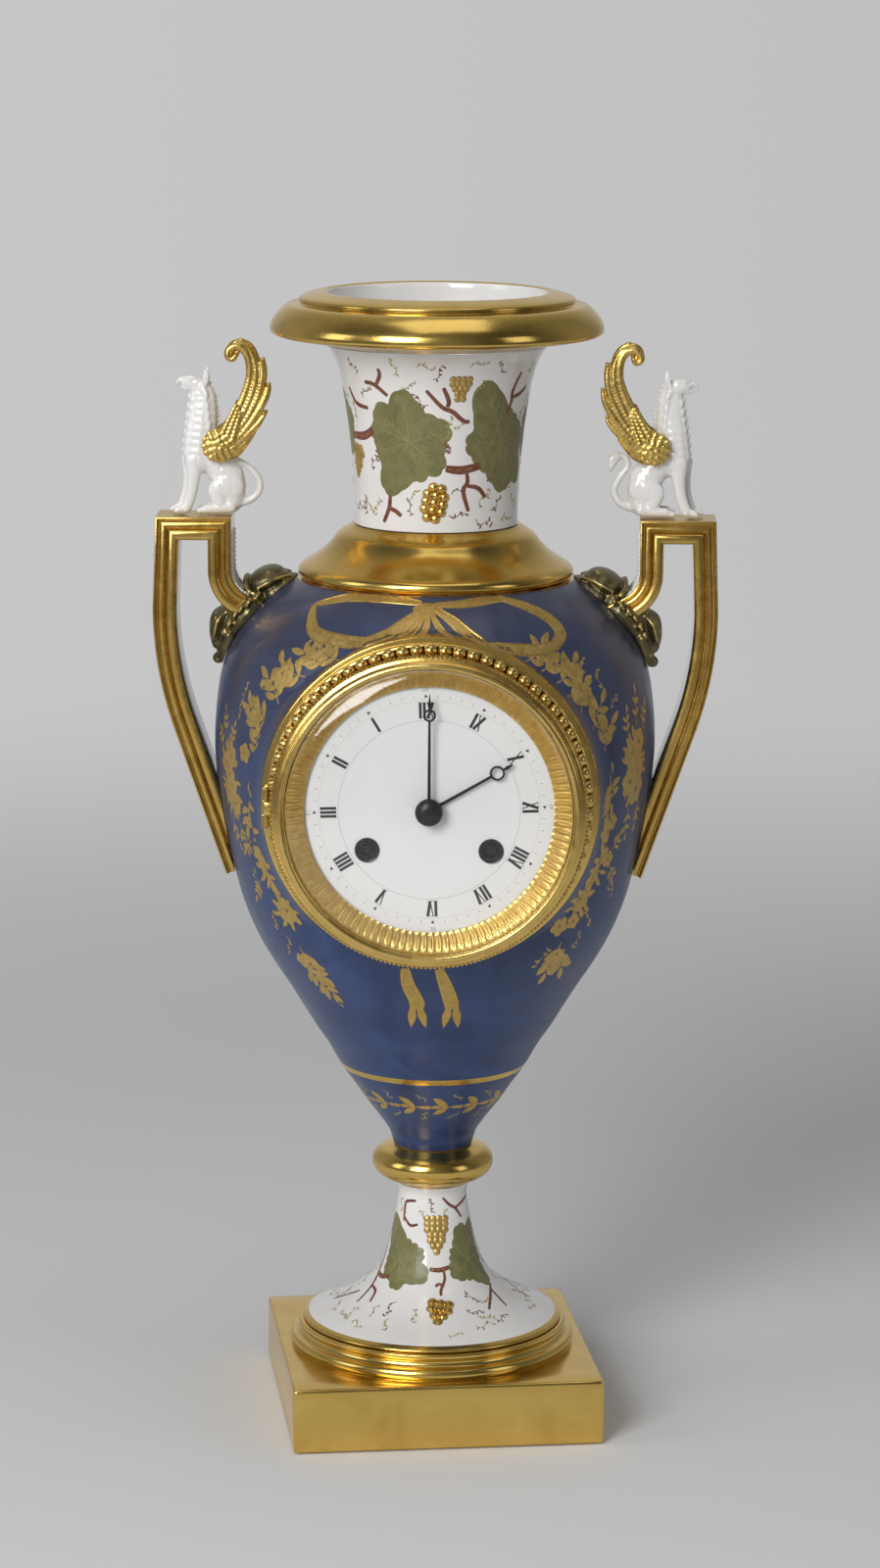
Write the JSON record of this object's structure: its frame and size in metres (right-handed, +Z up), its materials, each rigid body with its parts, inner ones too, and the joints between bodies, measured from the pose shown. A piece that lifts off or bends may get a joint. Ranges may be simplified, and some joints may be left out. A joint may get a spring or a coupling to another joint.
{
  "type": "vase clock",
  "caption": "Porcelain vase clock: blue urn body with gilt ornament, griffin-topped handles, beaded round bezel, white dial and striking movement.",
  "frame": {"origin": "on the floor, under the axis of the vase", "axes": "+Z up along the axis of the vase, -Y the way the dial faces, +X to the right of a person facing the dial"},
  "size_m": [0.197, 0.1788, 0.4],
  "materials": {
    "gilt": "burnished gilding over glazed porcelain",
    "white_porcelain": "opaque white glazed porcelain",
    "blue_porcelain": "opaque mottled blue ground with painted gold",
    "gilt_bronze": "gilt bronze, polished and chased",
    "patinated_mask": "dark patinated bronze with gilt high points",
    "clear_glass": "clear, domed",
    "enamel": "opaque white enamel",
    "black_steel": "blued to black",
    "brass": "polished",
    "steel": "polished",
    "bell_metal": "turned",
    "iron": "dark, threaded"
  },
  "bodies": {
    "case": {"plinth": "gilt", "knop_ring": "gilt", "shoulder_collar": "gilt", "mouth_rim": "gilt", "handle_right": "gilt", "handle_left": "gilt", "foot": "white_porcelain", "neck": "white_porcelain", "griffin_right": "white_porcelain", "griffin_left": "white_porcelain", "body": "blue_porcelain", "bead_ring": "gilt_bronze", "back_ring": "gilt_bronze", "wing_right_front": "gilt_bronze", "wing_right_back": "gilt_bronze", "wing_left_front": "gilt_bronze", "wing_left_back": "gilt_bronze", "mask_right": "patinated_mask", "mask_left": "patinated_mask", "dial": "enamel", "dial_plate": "brass", "front_plate": "brass", "back_plate": "brass", "pillar_1": "brass", "pillar_2": "brass", "pillar_3": "brass", "strap_right": "brass", "strap_left": "brass", "suspension_cock": "brass", "bezel_hinge_pin": "steel", "door_hinge_pin": "steel", "bell_stand": "steel", "bell": "bell_metal", "tie_rod": "iron", "lower_nut": "iron", "upper_nut": "iron"},
    "front_bezel": {"front_bezel": "gilt_bronze", "sight_ring": "gilt_bronze", "front_glass": "clear_glass"},
    "back_door": {"back_door": "gilt_bronze", "back_glass": "clear_glass"},
    "minute_hand": {"minute_hand": "black_steel", "hand_nut": "black_steel", "cannon_pinion": "steel"},
    "hour_hand": {"hour_hand": "black_steel", "hour_wheel": "brass"},
    "minute_wheel": {"minute_wheel": "brass"},
    "going_arbor": {"going_arbor": "steel"},
    "strike_arbor": {"strike_arbor": "steel"},
    "going_barrel": {"going_barrel": "brass"},
    "strike_barrel": {"strike_barrel": "brass"},
    "second_wheel": {"second_wheel": "brass"},
    "centre_wheel": {"centre_wheel": "brass"},
    "third_wheel": {"third_wheel": "brass"},
    "escape_wheel": {"escape_wheel": "brass"},
    "pendulum": {"pendulum_rod": "brass", "pendulum_bob": "brass", "anchor": "steel"},
    "count_wheel": {"count_wheel": "brass"},
    "hammer": {"hammer": "steel"}
  },
  "joints": [
    {"name": "front_bezel_swing", "type": "hinge", "parent": "case", "child": "front_bezel", "pos_m": [-0.0549, -0.076, 0.233], "axis": [0, 0, -1], "range_deg": [0, 100]},
    {"name": "back_door_swing", "type": "hinge", "parent": "case", "child": "back_door", "pos_m": [0.0549, 0.076, 0.233], "axis": [0, 0, -1], "range_deg": [0, 100]},
    {"name": "minute_hand_turn", "type": "hinge", "parent": "case", "child": "minute_hand", "pos_m": [0, -0.081, 0.233], "axis": [0, 1, 0], "continuous": true},
    {"name": "hour_hand_turn", "type": "hinge", "parent": "case", "child": "hour_hand", "pos_m": [0, -0.079, 0.233], "axis": [0, 1, 0], "continuous": true},
    {"name": "minute_wheel_turn", "type": "hinge", "parent": "case", "child": "minute_wheel", "pos_m": [0.012, -0.068, 0.233], "axis": [0, 1, 0], "continuous": true},
    {"name": "going_arbor_turn", "type": "hinge", "parent": "case", "child": "going_arbor", "pos_m": [0.0208, -0.06, 0.2191], "axis": [0, 1, 0], "continuous": true},
    {"name": "strike_arbor_turn", "type": "hinge", "parent": "case", "child": "strike_arbor", "pos_m": [-0.0208, -0.06, 0.2191], "axis": [0, 1, 0], "continuous": true},
    {"name": "going_barrel_turn", "type": "hinge", "parent": "case", "child": "going_barrel", "pos_m": [0.0208, -0.054, 0.2191], "axis": [0, 1, 0], "continuous": true},
    {"name": "strike_barrel_turn", "type": "hinge", "parent": "case", "child": "strike_barrel", "pos_m": [-0.0208, -0.054, 0.2191], "axis": [0, 1, 0], "continuous": true},
    {"name": "second_wheel_turn", "type": "hinge", "parent": "case", "child": "second_wheel", "pos_m": [0.0195, -0.045, 0.2393], "axis": [0, 1, 0], "continuous": true},
    {"name": "centre_wheel_turn", "type": "hinge", "parent": "case", "child": "centre_wheel", "pos_m": [0, -0.042, 0.233], "axis": [0, 1, 0], "continuous": true},
    {"name": "third_wheel_turn", "type": "hinge", "parent": "case", "child": "third_wheel", "pos_m": [-0.01, -0.036, 0.247], "axis": [0, 1, 0], "continuous": true},
    {"name": "escape_wheel_turn", "type": "hinge", "parent": "case", "child": "escape_wheel", "pos_m": [0, -0.031, 0.2605], "axis": [0, 1, 0], "continuous": true},
    {"name": "pendulum_swing", "type": "hinge", "parent": "case", "child": "pendulum", "pos_m": [0, -0.0191, 0.27], "axis": [0, 1, 0], "range_deg": [-5, 5]},
    {"name": "count_wheel_turn", "type": "hinge", "parent": "case", "child": "count_wheel", "pos_m": [-0.019, -0.022, 0.246], "axis": [0, 1, 0], "continuous": true},
    {"name": "hammer_swing", "type": "hinge", "parent": "case", "child": "hammer", "pos_m": [-0.0335, -0.013, 0.237], "axis": [0, 1, 0], "range_deg": [-12, 18], "stiffness_Nm_per_rad": 0.02}
  ],
  "couplings": [
    {"joint": "hour_hand_turn", "follows": "minute_hand_turn", "ratio": 0.083333},
    {"joint": "minute_wheel_turn", "follows": "minute_hand_turn", "ratio": -0.33333},
    {"joint": "going_barrel_turn", "follows": "centre_wheel_turn", "ratio": 0.033333},
    {"joint": "second_wheel_turn", "follows": "centre_wheel_turn", "ratio": -0.2},
    {"joint": "third_wheel_turn", "follows": "centre_wheel_turn", "ratio": -5},
    {"joint": "escape_wheel_turn", "follows": "centre_wheel_turn", "ratio": 25},
    {"joint": "count_wheel_turn", "follows": "strike_barrel_turn", "ratio": 7}
  ]
}
